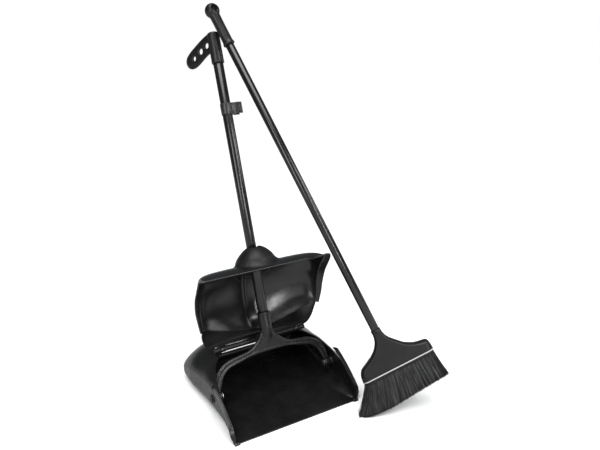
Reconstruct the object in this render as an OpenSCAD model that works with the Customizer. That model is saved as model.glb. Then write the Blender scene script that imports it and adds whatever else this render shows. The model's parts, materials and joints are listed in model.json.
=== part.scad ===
// Lobby dustpan with a self-closing hood, and the angled broom that leans on it.
// Millimetres. +X is to the right seen from the mouth, +Y to the rear, +Z up. The origin is on
// the floor, directly below the middle of the pan's swing axis.

/* [Pan] */
// Height of the swing axis above the floor
pivot_z = 48; // [44:1:54]
// How far the lip lies in front of the swing axis
lip_reach = 122; // [116:1:128]
// Half of the pan's width at the lip
pan_half_w = 166; // [165:0.5:168]
// How much wider each side is beside the hood's hinge
pan_flare = 4; // [2:0.5:5]
// How much wider again each side is at the rear
rear_flare = 7; // [4:0.5:8]
// Height of the bin's roof
roof_z = 125; // [123:1:127]
// Width of the roof's slack side corners, seen from the front
roof_corner_w = 66; // [55:1:70]
// Height of the roof's slack side corners
roof_corner_h = 50; // [42:1:54]
// How full those corners are: 1 is a straight cut and 2 is an arc
roof_slack = 1.6; // [1.6:0.05:2]
// Wall thickness of the pan
pan_wall = 3; // [2:0.5:3.5]
// How far the rim flange stands out from the side walls
rim_w = 8; // [5:1:9]

/* [Hood] */
// Hinge line of the hood behind the swing axis
hinge_y = 77; // [76:1:78]
// Hinge line of the hood above the floor
hinge_z = 123; // [122:1:124]
// Wall thickness of the hood
hood_wall = 2.6; // [2:0.2:3]
// How far the hub stands in front of the handle's axis
hub_forward = 14; // [12:1:15]
// Radius of the hinge rod
rod_r = 2.5; // [2:0.25:3]

/* [Handle] */
// Backward lean of the handle
lean = 20.43; // [20:0.01:21]
// Outside radius of the handle tube
tube_r = 12.5; // [12:0.25:12.5]
// Wall of both tubes
tube_wall = 1.2; // [0.8:0.1:1.5]
// Distance from the swing axis to the bottom of the tube
tube_foot = 128; // [124:1:132]
// Distance from the swing axis to the top of the yoke's collar
collar_top = 170; // [165:1:172]
// Thickness of the yoke's arch
yoke_t = 10; // [8:1:12]
// Distance from the swing axis to the top of the hand grip
grip_top = 871; // [865:1:875]
// Length of the hand grip's sleeve
grip_len = 76; // [70:1:80]
// Turn of the hand grip's plate about the handle, from the rear of the pan
plate_turn = 115; // [110:1:120]
// Distance from the swing axis to the bottom of the broom clip
clip_s = 667; // [650:1:680]
// Height of the broom clip
clip_h = 28; // [20:1:32]

/* [Broom] */
// Place of the broom's axis, at the line between head and strip, to the right of the pan's middle
broom_x = 229.8; // [229:0.1:240]
// Place of the broom's axis behind the swing axis
broom_y = -179.3; // [-185:0.1:-176]
// Height of the broom's axis above the floor
broom_z = 108.4; // [104:0.1:112]
// Turn of the broom about X
broom_turn_x = -22.66; // [-23:0.01:-22]
// Turn of the broom about Y
broom_turn_y = -25.37; // [-26:0.01:-25]
// Turn of the broom about Z
broom_turn_z = -20.39; // [-21:0.01:-20]
// Outside radius of the broom's tube
broom_r = 10.5; // [10:0.25:10.5]
// Outside radius of the broom's grip sleeve
broom_grip_r = 12.5; // [12:0.25:12.5]
// Distance from the strip to the centre of the ball end
ball_up = 967; // [960:1:970]
// Radius of the ball end
ball_r = 18; // [17:0.5:18.5]
// Thickness of the broom head at the strip
head_t = 36; // [30:1:38]
// Height of the light strip
strip_h = 4; // [3:0.5:5]
// Height of the block that holds the bristles
block_h = 9; // [6:1:12]

/* [Hidden] */

$fn = 64;
eps = 0.1;
plastic = "#2b2b2d";
satin = "#3a3a3d";
far = 400;

// Swing pins
pin_r = 4.5;
pin_head_r = 9;
pin_head_t = 4;
boss_r = 14;
arm_in = 144;
arm_out = 159;
arm_r = 13;
run_gap = 0.06;
boss_in = arm_out + 0.6;
boss_out = pan_half_w + 3;
retainer_r = 8;
retainer_t = 2.6;

// Hood hinge knuckles, as distances from the middle
barrel_r = 6;
barrel_half = 97.4;
knuckle_in = 98;
knuckle_out = 112;
outer_barrel_in = 112.6;
outer_barrel_out = 128;

// Hub on top of the hood, as distances along the handle
hub_r = 50;
hub_skirt_s = 262;
hub_wall = 3;
slot_half_w = 15;
slot_front = 20;
slot_rear = 3.5;

lip_y = -lip_reach;

// Screw that holds the tube in the yoke's collar
screw_s = 150;
screw_r = 2;
screw_len = 30;
plug_len = 36;

// How far the broom's tube stands in its head
broom_socket = 40;

// ---------------------------------------------------------------- helpers

function arc(centre, rx, ry, from, to, n = 12) =
    [for (i = [0:n]) let (a = from + (to - from) * i / n) centre + [rx * cos(a), ry * sin(a)]];

// Quarter of a superellipse, from its side to its top: the lower the power, the slacker the corner
function slack_corner(centre, rx, ry, power, n = 14) =
    [for (i = [0:n]) let (a = 90 * i / n) centre + [rx * pow(cos(a), 2 / power), ry * pow(sin(a), 2 / power)]];

function mirrored(right) =
    concat(right, [for (i = [len(right) - 1:-1:0]) [-right[i].x, right[i].y]]);

function unit(v) = v / norm(v);

// Side view (y, z) drawn as 2D, extruded along X between two distances from the middle
module side_slab(from, to) {
    translate([from, 0, 0]) rotate([90, 0, 90]) linear_extrude(to - from) children();
}

// Front view (x, z) drawn as 2D, extruded along Y
module front_slab(from, to) {
    translate([0, to, 0]) rotate([90, 0, 0]) linear_extrude(to - from) children();
}

module both_sides() {
    for (side = [0, 1]) mirror([side, 0, 0]) children();
}

// Cylinder along X between two distances from the middle
module axle(r, from, to) {
    translate([from, 0, 0]) rotate([0, 90, 0]) cylinder(r = r, h = to - from);
}

module ring(r_in, r_out, h) {
    difference() {
        cylinder(r = r_out, h = h);
        translate([0, 0, -eps]) cylinder(r = r_in, h = h + 2 * eps);
    }
}

// Frame of the handle: origin on the swing axis, +Z up the tube, +Y to its rear
module on_handle() {
    translate([0, 0, pivot_z]) rotate([-lean, 0, 0]) children();
}

// Frame of the broom: origin on its axis at the strip, +Z up the tube, +X along the head
module on_broom() {
    translate([broom_x, broom_y, broom_z]) rotate([broom_turn_x, broom_turn_y, broom_turn_z]) children();
}

// ---------------------------------------------------------------- pan

rim_line = [[lip_y, 0], [lip_y + 1, 9], [lip_y + 3, 19], [lip_y + 10, 34], [-93, 49], [-70, 65],
            [-46, 78], [-22, 89], [-10, 92], [20, 104], [54, 116], [84, roof_z]];

rear_centre = [88, 22];
rear_run = 138;
rear_rise = roof_z - rear_centre.y;
heel_r = 15;

// Rear of the bin, from the roof down and around the heel to the floor
function bin_rear(inset) = concat(
    arc(rear_centre, rear_run - inset, rear_rise - inset, 90, 0, 14),
    arc([rear_centre.x + rear_run - heel_r, heel_r], heel_r - inset, heel_r - inset, -15, -90, 5));

module pan_side_outer() polygon(concat(rim_line, bin_rear(0)));

module pan_side_inner() {
    polygon(concat([[lip_y - 20, 1], [lip_y - 20, 2 * roof_z], [70, 2 * roof_z], [70, roof_z - pan_wall]],
                   bin_rear(pan_wall), [[lip_y + 25, pan_wall], [lip_y, 1]]));
}

// Front view of the bin: straight sides and slack roof corners
module pan_front(inset) {
    w = pan_half_w + pan_flare + rear_flare;
    polygon(mirrored(concat([[w - inset, -eps]],
        slack_corner([w - roof_corner_w, roof_z - roof_corner_h],
                     roof_corner_w - inset, roof_corner_h - inset, roof_slack))));
}

// Plan of the pan: sides that flare to the rear and round rear corners
module pan_plan(inset) {
    w = pan_half_w + pan_flare + rear_flare - inset;
    rear = rear_centre.x + rear_run - inset;
    corner = 60 - inset;
    polygon(mirrored(concat([[pan_half_w - inset, lip_y - 30], [pan_half_w - inset, lip_y],
                             [pan_half_w + pan_flare - inset, 60], [w, 130]],
        arc([w - corner, rear - corner], corner, corner, 0, 90))));
}

module pan_skin() {
    intersection() {
        side_slab(-far, far) pan_side_outer();
        front_slab(-far, far) pan_front(0);
        linear_extrude(far) pan_plan(0);
    }
}

module pan_hollow() {
    intersection() {
        side_slab(-far, far) pan_side_inner();
        front_slab(-far, far) pan_front(pan_wall);
        translate([0, 0, -eps]) linear_extrude(far) pan_plan(pan_wall);
    }
}

// Outward flange along the front edge of each side wall
module rim_flange() {
    side_slab(pan_half_w - pan_wall, pan_half_w + rim_w) intersection() {
        difference() {
            polygon(concat(rim_line, [[84, 0]]));
            translate([5, -3.5]) polygon(concat(rim_line, [[84, -20]]));
        }
        translate([lip_y - 1, -1]) square([lip_reach + 20, roof_z]);
    }
}

// Short foot at each end of the lip
module lip_foot() {
    side_slab(pan_half_w - 12, pan_half_w + 2)
        polygon([[lip_y - 3.5, 0], [lip_y - 3.5, 1.5], [lip_y - 1, 4], [lip_y + 8, 5], [lip_y + 8, 0]]);
}

module pan_knuckle() {
    translate([0, hinge_y, hinge_z]) axle(barrel_r + 1, knuckle_in, knuckle_out);
    side_slab(knuckle_in, knuckle_out)
        polygon([[hinge_y + 2, hinge_z - 6], [hinge_y + 18, roof_z - pan_wall], [hinge_y + 18, roof_z - 1],
                 [hinge_y + 5, roof_z]]);
}

module scoop() color(plastic) difference() {
    union() {
        difference() {
            pan_skin();
            pan_hollow();
            translate([0, hinge_y, hinge_z])
                axle(barrel_r + 2.5, -outer_barrel_out - 2, outer_barrel_out + 2);
        }
        both_sides() {
            rim_flange();
            lip_foot();
            pan_knuckle();
            translate([0, 0, pivot_z]) axle(boss_r, boss_in, boss_out);
        }
    }
    both_sides() translate([0, 0, pivot_z]) axle(pin_r, boss_in - 1, boss_out + 1);
    translate([0, hinge_y, hinge_z]) axle(rod_r, -knuckle_out - 1, knuckle_out + 1);
}

module pivot_pin() color(satin) translate([0, 0, pivot_z]) {
    axle(pin_r, arm_in - 5, boss_out + eps);
    translate([boss_out, 0, 0]) rotate([0, 90, 0]) rotate_extrude()
        polygon([[0, 0], [pin_head_r, 0], [pin_head_r, pin_head_t - 2], [pin_head_r - 2, pin_head_t],
                 [0, pin_head_t]]);
}

module pivot_pin_right() pivot_pin();
module pivot_pin_left() mirror([1, 0, 0]) pivot_pin();

module pin_retainer() color("silver")
    translate([arm_in - 0.6 - retainer_t, 0, pivot_z]) rotate([0, 90, 0]) ring(pin_r, retainer_r, retainer_t);

module pin_retainer_right() pin_retainer();
module pin_retainer_left() mirror([1, 0, 0]) pin_retainer();

module hood_hinge_rod() color("silver")
    translate([0, hinge_y, hinge_z]) axle(rod_r, -outer_barrel_out + 1, outer_barrel_out - 1);

// ---------------------------------------------------------------- hood

// Side view (y, z) of the hood, up the rim from the hinge to the lip, then down the back
hood_rim = [[77, 124], [77, 152], [75, 172], [66, 190], [66, 224], [68, 250], [61, 284], [47, 309],
            [36, 325], [29, 338]];
hood_back = [[29, 341], [62, 341], [86, 336], [106, 321], [121, 293], [128, 258], [127, 230],
             [121, 200], [112, 172], [101, 148], [88, 130], [80, 122]];

// Front view (x, z) of the right half, from the hinge up to the lip
hood_half = [[126, 122], [143, 132], [156, 149], [162, 168], [165, 197], [171, 224], [175, 250],
             [177, 284], [177, 345]];

// A point moved by a distance towards a middle
function towards(p, middle, d) = p - d * unit(p - middle);

side_mid = [50, 240];
front_mid = [0, 250];

module hood_side_outer() polygon(concat(hood_rim, hood_back));

module hood_side_inner() {
    reach = -30;
    polygon(concat([[reach, 336]], [for (p = hood_back) towards(p, side_mid, hood_wall)], [[reach, 128]]));
}

module hood_front(inset)
    polygon(mirrored([for (p = hood_half) towards(p, front_mid, inset)]));

// Plan (x, y) of the hood with rounded rear corners
module hood_plan(inset) {
    corner = [60, 56];
    middle = [181 - corner.x, 130 - corner.y];
    polygon(mirrored(concat([[181 - inset, -50]], arc(middle, corner.x - inset, corner.y - inset, 0, 90))));
}

module hood_skin() intersection() {
    side_slab(-far, far) hood_side_outer();
    front_slab(-far, far) hood_front(0);
    linear_extrude(far) hood_plan(0);
}

module hood_room() intersection() {
    side_slab(-far, far) hood_side_inner();
    front_slab(-far, far) hood_front(hood_wall);
    linear_extrude(far) hood_plan(hood_wall);
}

// Frame of the hub: parallel to the handle and a little in front of it
module on_hub() {
    on_handle() translate([0, -hub_forward, 0]) children();
}

// Bell outline as (radius, distance along the handle)
bell_line = [[hub_r, 285], [hub_r - 3, 296], [41, 308], [34, 319], [27, 328], [21.5, 334]];

module bell(inset) rotate_extrude() {
    polygon(concat([[0, hub_skirt_s], [hub_r - inset, hub_skirt_s]],
                   [for (p = bell_line) p - [inset, inset / 2]], [[0, 334 - inset / 2]]));
}

// Slot in the top of the hub, along which the tube shifts as the hood turns
module tube_slot() translate([0, 0, hub_skirt_s]) linear_extrude(2 * hub_r) {
    for (y = [slot_rear, -slot_front]) translate([0, y]) circle(r = slot_half_w);
    translate([-slot_half_w, -slot_front]) square([2 * slot_half_w, slot_front + slot_rear]);
}

module hood() color(plastic) difference() {
    union() {
        difference() {
            hood_skin();
            hood_room();
            on_hub() translate([0, 0, hub_skirt_s - 20]) cylinder(r = hub_r - hub_wall, h = far);
        }
        difference() {
            on_hub() difference() {
                bell(0);
                translate([0, 0, -eps]) bell(hub_wall);
            }
            hood_room();
        }
        translate([0, hinge_y, hinge_z]) {
            axle(barrel_r, -barrel_half, barrel_half);
            both_sides() axle(barrel_r, outer_barrel_in, outer_barrel_out);
        }
    }
    on_handle() tube_slot();
    translate([0, hinge_y, hinge_z]) {
        axle(rod_r + run_gap, -far, far);
        both_sides() axle(barrel_r + 2, barrel_half, outer_barrel_in);
    }
}

// ---------------------------------------------------------------- handle

yoke_right = [[14, 132], [16, 124], [20, 117], [27, 107], [35, 100], [46, 91], [59, 85.5], [83, 82],
              [104, 79], [118, 75], [130, 69], [141, 61], [149, 52], [155, 43], [158, 35], [159, 24],
              [159, 0], [144, 0], [144, 10], [138, 26], [130, 42], [121, 51], [111, 57], [99, 60],
              [80, 64], [57, 69], [30, 71]];

// Screw hole across the rear of the collar, tube and plug, in the handle's frame
module screw_hole() translate([0, 0, screw_s]) rotate([-90, 0, 0]) cylinder(r = screw_r, h = screw_len);

module arch_outline() polygon(mirrored(yoke_right));

module yoke() color(plastic) on_handle() difference() {
    union() {
        rotate([90, 0, 0]) linear_extrude(yoke_t, center = true) arch_outline();
        both_sides() axle(arm_r, arm_in, arm_out);
        translate([0, 0, 118]) cylinder(r1 = 13, r2 = 15.5, h = 12);
        translate([0, 0, 130]) cylinder(r = 15.5, h = collar_top - 130);
    }
    both_sides() axle(pin_r + run_gap, arm_in - 1, arm_out + 1);
    translate([0, 0, tube_foot]) cylinder(r = tube_r, h = far);
    screw_hole();
}

module handle_tube() color(satin) on_handle() difference() {
    translate([0, 0, tube_foot]) ring(tube_r - tube_wall, tube_r, grip_top - 6 - tube_foot);
    screw_hole();
}

module tube_plug() color(plastic) on_handle() difference() {
    translate([0, 0, tube_foot]) cylinder(r = tube_r - tube_wall, h = plug_len);
    screw_hole();
}

module collar_screw() color("silver") on_handle() translate([0, 0, screw_s]) rotate([-90, 0, 0]) {
    translate([0, 0, 2]) cylinder(r = screw_r, h = 14);
    translate([0, 0, 15.3]) cylinder(r1 = 2 * screw_r, r2 = 1.5 * screw_r, h = 2.2);
}

// Hand grip: plate outline in (distance from the tube's axis, distance above the swing axis)
grip_plate = [[5, grip_top - 1], [27, grip_top], [46, 867], [66, 861], [88, 852], [98, 847], [92, 810],
              [73, 810], [58, 815], [44, 821], [23, 827], [5, 829]];
grip_holes = [[26, 846, 7.2], [49, 838.5, 7.7], [75, 828, 6.3]];
grip_tip = [90, 829, 20];

module plate_slab(t)
    rotate([0, 0, plate_turn]) rotate([90, 0, 0]) linear_extrude(t, center = true) children();

module hand_grip() color(plastic) on_handle() difference() {
    union() {
        translate([0, 0, grip_top - grip_len]) cylinder(r = 15.3, h = grip_len - 6);
        translate([0, 0, grip_top - 6]) rotate_extrude()
            polygon(concat([[0, 0]], arc([9.3, 0], 6, 6, 0, 90), [[0, 6]]));
        plate_slab(9) {
            polygon(grip_plate);
            translate([grip_tip.x, grip_tip.y]) circle(r = grip_tip.z);
        }
        for (h = grip_holes) plate_slab(13) translate([h.x, h.y]) circle(r = h.z + 3);
    }
    for (h = grip_holes) plate_slab(20) translate([h.x, h.y]) circle(r = h.z);
    translate([0, 0, grip_top - grip_len - 1]) cylinder(r = tube_r, h = grip_len - 5);
}

clip_x = 27;
clip_r = broom_r;
clip_wall = 3;

module broom_clip() color(satin) on_handle() translate([0, 0, clip_s]) difference() {
    union() {
        cylinder(r = tube_r + clip_wall, h = clip_h);
        translate([clip_x, 0, 0]) cylinder(r = clip_r + clip_wall, h = clip_h);
    }
    translate([0, 0, -eps]) cylinder(r = tube_r, h = clip_h + 2 * eps);
    translate([clip_x, 0, -eps]) cylinder(r = clip_r, h = clip_h + 2 * eps);
    translate([clip_x, 0, -eps]) linear_extrude(clip_h + 2 * eps)
        polygon([[0, 0], [20, -14], [20, 14]]);
}

// ---------------------------------------------------------------- broom

head_left = -84;
head_right = 104;
head_outline = [[head_left, 0], [-82, 12], [-78, 22], [-72, 28.6], [-58, 36], [-40, 45.5], [-28, 55],
                [-18.6, 66.6], [-13, 80], [-11.5, 98], [11.5, 98], [14, 84], [19, 72], [26.9, 62.4],
                [40, 49], [59, 35], [80, 27.5], [97, 25], [101, 22], [103, 12], [head_right, 0]];
bristle_outline = [[head_left + 2, -strip_h - block_h], [-106, -40], [-127, -68], [-117, -75], [-98, -81],
                   [-53, -84], [28, -78], [110, -73], [108, -40], [head_right - 2, -strip_h - block_h]];

module broom_head() color(plastic) on_broom() difference() {
    intersection() {
        front_slab(-head_t, head_t) polygon(head_outline);
        side_slab(-far, far) polygon(mirrored([[head_t / 2, 0], [head_t / 2, 8], [head_t / 2 - 2, 24],
                                               [14, 60], [11.5, 80], [11.5, 98]]));
    }
    translate([0, 0, broom_socket]) cylinder(r = broom_r, h = far);
}

module edge_strip() color("lightgray") on_broom()
    translate([head_left - 0.5, -head_t / 2 - 0.5, -strip_h])
        cube([head_right - head_left + 1, head_t + 1, strip_h]);

module bristle_block() color(plastic) on_broom()
    translate([head_left + 1, -head_t / 2 + 1, -strip_h - block_h])
        cube([head_right - head_left - 2, head_t - 2, block_h]);

module bristles() color(plastic) intersection() {
    on_broom() front_slab(1 - head_t / 2, head_t / 2 - 1) polygon(bristle_outline);
    translate([-far, -far, 0]) cube(2 * far);
}

module broom_insert() color(plastic) on_broom()
    translate([0, 0, broom_socket]) cylinder(r = broom_r - tube_wall, h = 60);

module broom_tube() color(satin) on_broom()
    translate([0, 0, broom_socket]) ring(broom_r - tube_wall, broom_r, ball_up - 25 - broom_socket);

module broom_grip() color(plastic) on_broom() difference() {
    union() {
        translate([0, 0, ball_up]) sphere(r = ball_r);
        rotate_extrude() polygon([[0, ball_up - 93], [13.6, ball_up - 93], [14.5, ball_up - 90.5],
                                  [13.6, ball_up - 87], [broom_grip_r, ball_up - 82],
                                  [broom_grip_r, ball_up - 10], [0, ball_up - 10]]);
    }
    translate([0, 0, ball_up - 94]) cylinder(r = broom_r, h = 69);
    translate([0, 0, ball_up]) rotate([0, 0, 28]) rotate([90, 0, 0]) cylinder(r = 7, h = 60, center = true);
}

yoke();
handle_tube();
tube_plug();
collar_screw();
hand_grip();
broom_clip();
scoop();
pivot_pin_left();
pivot_pin_right();
pin_retainer_left();
pin_retainer_right();
hood_hinge_rod();
hood();
broom_tube();
broom_grip();
broom_insert();
broom_head();
edge_strip();
bristle_block();
bristles();
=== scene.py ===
"""Looks for the lobby dustpan and its leaning broom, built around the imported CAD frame.

Lengths below are in millimetres unless a name ends in _m. Every piece is made in the row frame:
+X to the right seen from the mouth, +Y to the rear, +Z up, origin on the floor below the swing axis.
"""
import json
import math
import random
from contextlib import contextmanager

import bmesh
import bpy
import numpy as np
from mathutils import Matrix, Vector
from mathutils.bvhtree import BVHTree


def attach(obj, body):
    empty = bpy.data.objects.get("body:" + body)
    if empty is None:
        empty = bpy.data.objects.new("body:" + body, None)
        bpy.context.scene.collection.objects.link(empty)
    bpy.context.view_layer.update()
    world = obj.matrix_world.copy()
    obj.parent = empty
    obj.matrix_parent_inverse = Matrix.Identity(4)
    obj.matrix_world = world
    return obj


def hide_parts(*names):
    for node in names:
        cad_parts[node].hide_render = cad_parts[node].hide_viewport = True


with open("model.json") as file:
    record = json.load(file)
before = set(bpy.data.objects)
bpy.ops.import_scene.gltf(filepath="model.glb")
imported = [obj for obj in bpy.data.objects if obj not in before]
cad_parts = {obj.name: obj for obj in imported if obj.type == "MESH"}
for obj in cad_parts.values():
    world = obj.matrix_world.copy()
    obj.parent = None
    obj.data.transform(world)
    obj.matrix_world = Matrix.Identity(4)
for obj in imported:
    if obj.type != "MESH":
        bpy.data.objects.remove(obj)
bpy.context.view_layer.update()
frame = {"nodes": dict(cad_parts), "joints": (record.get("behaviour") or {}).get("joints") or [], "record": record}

MM = 0.001
JOINTS = {j["name"]: j for j in frame["joints"]}
MOUNTS = {m["name"]: m for m in frame["record"]["mounts"]}
rng = random.Random(7)


# ---------------------------------------------------------------- frames

def joint_point(name):
    return Vector(JOINTS[name]["pos_m"]) / MM


def turn_about(axis, degrees):
    return Matrix.Rotation(math.radians(degrees), 4, axis)


def shares(count):
    """Even steps from 0 to 1."""
    return [k / count for k in range(count + 1)]


def handle_frame():
    """Origin on the swing axis, +Z up the handle's tube, +Y to its rear."""
    up = Vector(MOUNTS["broom_clip_grip"]["axis"]).normalized()
    across = Vector((1, 0, 0))
    rear = up.cross(across)
    turn = Matrix((across, rear, up)).transposed().to_4x4()
    return Matrix.Translation(joint_point("pan_swing")) @ turn


# The broom's lean, in degrees about X, then Y, then Z
BROOM_TURN = (-22.66, -25.37, -20.39)
# Height of the ball's centre above the strip, along the broom
BALL_UP = 967.0


def broom_frame():
    """Origin on the broom's axis at the strip, +Z up its tube, +X along the head."""
    x, y, z = BROOM_TURN
    turn = turn_about("Z", z) @ turn_about("Y", y) @ turn_about("X", x)
    ball = Vector(MOUNTS["broom_hanging_hole"]["pos_m"]) / MM
    foot = ball - turn.to_3x3() @ Vector((0, 0, BALL_UP))
    return Matrix.Translation(foot) @ turn


HANDLE = handle_frame()
BROOM = broom_frame()
ROW = Matrix.Identity(4)
# Frame for side views: its x, y and z run along the row's Y, Z and X
SIDE_VIEW = Matrix(((0, 0, 1, 0), (1, 0, 0, 0), (0, 1, 0, 0), (0, 0, 0, 1)))
PIVOT = joint_point("pan_swing")
HINGE = joint_point("hood_hinge")


# ---------------------------------------------------------------- mesh helpers

def smoothstep(low, high, x):
    t = min(max((x - low) / (high - low), 0.0), 1.0)
    return t * t * (3 - 2 * t)


def mix(a, b, t):
    return a + (b - a) * t


def spline(rows, t):
    """Point at t, from 0 to 1, of a smooth curve through rows of equal spacing."""
    rows = np.asarray(rows, float)
    last = len(rows) - 1
    i = min(int(t * last), last - 1)
    f = t * last - i
    a, b, c, d = rows[max(i - 1, 0)], rows[i], rows[i + 1], rows[min(i + 2, last)]
    return 0.5 * (2 * b + (c - a) * f + (2 * a - 5 * b + 4 * c - d) * f ** 2
                  + (3 * b - a - 3 * c + d) * f ** 3)


def even_spline(rows, count):
    """count points at equal steps along a smooth curve through rows."""
    fine = np.array([spline(rows, k / (60 * len(rows))) for k in range(60 * len(rows) + 1)])
    run = np.concatenate([[0], np.cumsum(np.linalg.norm(np.diff(fine, axis=0), axis=1))])
    wanted = np.linspace(0, run[-1], count)
    return np.stack([np.interp(wanted, run, fine[:, k]) for k in range(fine.shape[1])], axis=1)


def add_object(name, data):
    thing = bpy.data.objects.new(name, data)
    bpy.context.scene.collection.objects.link(thing)
    return thing


def raw_mesh(name, points, faces):
    """Mesh object from points in metres, as they are."""
    mesh = bpy.data.meshes.new(name)
    mesh.from_pydata(points, [], faces)
    return add_object(name, mesh)


@contextmanager
def editing(piece):
    """The piece's mesh as a bmesh, written back at the end."""
    bm = bmesh.new()
    bm.from_mesh(piece.data)
    yield bm
    bm.to_mesh(piece.data)
    bm.free()


def shade_smooth(piece):
    piece.data.polygons.foreach_set("use_smooth", [True] * len(piece.data.polygons))
    return piece


def make(name, points, faces, place=ROW, smooth=True):
    """Clean mesh object from points in millimetres in a local frame."""
    piece = raw_mesh(name, [(place @ Vector(p)) * MM for p in points], faces)
    piece.data.validate()
    with editing(piece) as bm:
        bmesh.ops.remove_doubles(bm, verts=bm.verts, dist=0.00001)
        bmesh.ops.dissolve_degenerate(bm, dist=0.000005, edges=bm.edges)
        bmesh.ops.recalc_face_normals(bm, faces=bm.faces)
    return shade_smooth(piece) if smooth else piece


def grid_faces(rows, cols, close_rows=False, close_cols=False):
    faces = []
    for i in range(rows if close_rows else rows - 1):
        for j in range(cols if close_cols else cols - 1):
            k, l = (i + 1) % rows, (j + 1) % cols
            faces.append((i * cols + j, i * cols + l, k * cols + l, k * cols + j))
    return faces


def grid(name, table, place=ROW, close_rows=False, close_cols=False, caps=False):
    """Mesh from a table of points [row][column]."""
    rows, cols = len(table), len(table[0])
    points = [p for row in table for p in row]
    faces = grid_faces(rows, cols, close_rows, close_cols)
    if caps:
        faces.append(tuple(range(cols)))
        faces.append(tuple((rows - 1) * cols + j for j in range(cols)))
    return make(name, points, faces, place)


def turned(outline, steps):
    """Table of points from (radius, height) points turned about local Z."""
    turns = [2 * math.pi * k / steps for k in range(steps)]
    return [[(r * math.cos(a), r * math.sin(a), h) for a in turns] for r, h in outline]


def lathe(name, outline, place=ROW, steps=72):
    """Solid of revolution whose outline starts and ends on the axis."""
    return grid(name, turned(outline, steps), place, close_cols=True)


def ring_solid(name, outline, place=ROW, steps=72):
    """Ring about local Z whose section is a closed loop of (radius, height) points."""
    return grid(name, turned(outline, steps), place, close_rows=True, close_cols=True)


def arc(centre, radius, start, end, count=8):
    """(x, y) points on an arc, angles in degrees."""
    return [(centre[0] + radius * math.cos(math.radians(mix(start, end, k / count))),
             centre[1] + radius * math.sin(math.radians(mix(start, end, k / count))))
            for k in range(count + 1)]


def rounded(outline, radius, count=4):
    """Closed or open polyline with its corners rounded."""
    out = []
    for k, p in enumerate(outline):
        if k in (0, len(outline) - 1):
            out.append(tuple(p))
            continue
        p = Vector(p)
        before, after = Vector(outline[k - 1]) - p, Vector(outline[k + 1]) - p
        cut = min(radius, before.length * 0.45, after.length * 0.45)
        a, b = p + before.normalized() * cut, p + after.normalized() * cut
        for s in range(count + 1):
            t = s / count
            out.append(tuple((1 - t) ** 2 * a + 2 * t * (1 - t) * p + t * t * b))
    return out


def along_x(centre, right=True):
    """Frame whose +Z points along +X (or -X) from a centre."""
    return Matrix.Translation(Vector(centre)) @ turn_about("Y", 90 if right else -90)


def apply_all(piece):
    """Bakes a piece's modifiers into its mesh."""
    bpy.context.view_layer.update()
    graph = bpy.context.evaluated_depsgraph_get()
    baked = bpy.data.meshes.new_from_object(piece.evaluated_get(graph))
    piece.modifiers.clear()
    piece.data = baked
    return piece


def thicken(piece, wall, offset=-1.0):
    solid = piece.modifiers.new("wall", "SOLIDIFY")
    solid.thickness = wall * MM
    solid.offset = offset
    solid.use_even_offset = True
    return apply_all(piece)


def bevel(piece, width, angle=40, segments=3):
    edge = piece.modifiers.new("edges", "BEVEL")
    edge.width = width * MM
    edge.segments = segments
    edge.limit_method = "ANGLE"
    edge.angle_limit = math.radians(angle)
    edge.use_clamp_overlap = True
    return shade_smooth(apply_all(piece))


def cut(piece, *tools):
    """Takes the tools away from the piece, and deletes them."""
    for tool in tools:
        change = piece.modifiers.new("cut", "BOOLEAN")
        change.operation = "DIFFERENCE"
        change.solver = "EXACT"
        change.object = tool
        apply_all(piece)
        bpy.data.objects.remove(tool)
    return piece


def keep_sharp(piece, angle=35):
    """Smooth shading that stays crisp where faces meet at more than an angle."""
    with editing(piece) as bm:
        for e in bm.edges:
            e.smooth = len(e.link_faces) == 2 and e.calc_face_angle(0) < math.radians(angle)
    return shade_smooth(piece)


def on_side(piece, side):
    """Turns a right-hand piece into its left-hand twin if the side is left."""
    if side == "right":
        return piece
    piece.name = piece.name.split(".")[0].replace("right", "left")
    with editing(piece) as bm:
        for v in bm.verts:
            v.co.x = -v.co.x
        bmesh.ops.reverse_faces(bm, faces=bm.faces)
    return piece


def prism(name, outline, low, high, place=ROW):
    """Closed outline (x, y) extruded along local Z."""
    n = len(outline)
    points = [(x, y, low) for x, y in outline] + [(x, y, high) for x, y in outline]
    faces = [tuple(range(n)), tuple(range(n, 2 * n))]
    faces += [(k, (k + 1) % n, n + (k + 1) % n, n + k) for k in range(n)]
    return make(name, points, faces, place, smooth=False)


def tube(name, inner, outer, low, high, place=ROW, steps=72):
    """Open tube with softened end edges."""
    soft = 0.4
    profile = [(inner, low), (outer - soft, low), (outer, low + soft), (outer, high - soft),
               (outer - soft, high), (inner, high)]
    return keep_sharp(ring_solid(name, profile, place, steps), 60)


def bead(name, path, profile, place=ROW, closed=False):
    """Sweeps a closed profile (across, out of plane) along a path (x, y) that lies in a plane."""
    path = [Vector(p) for p in path]
    n = len(path)
    table = []
    for k, p in enumerate(path):
        before = path[(k - 1) % n] if closed else path[max(k - 1, 0)]
        after = path[(k + 1) % n] if closed else path[min(k + 1, n - 1)]
        along = (after - before).normalized()
        across = Vector((-along.y, along.x))
        table.append([(p.x + across.x * a, p.y + across.y * a, b) for a, b in profile])
    return grid(name, table, place, close_rows=closed, close_cols=True, caps=not closed)


def ellipse(a, b, count=12):
    return [(a * math.cos(2 * math.pi * k / count), b * math.sin(2 * math.pi * k / count))
            for k in range(count)]


def finish_piece(piece, body, slot, material, *nodes):
    piece.data.materials.clear()
    piece.data.materials.append(material)
    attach(piece, body)
    if nodes:
        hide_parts(*nodes)
    return piece


# ---------------------------------------------------------------- materials

def node_setup(name):
    material = bpy.data.materials.new(name)
    material.use_nodes = True
    tree = material.node_tree
    shader = tree.nodes["Principled BSDF"]
    place = tree.nodes.new("ShaderNodeTexCoord")
    return material, tree, shader, place.outputs["Object"]


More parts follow.
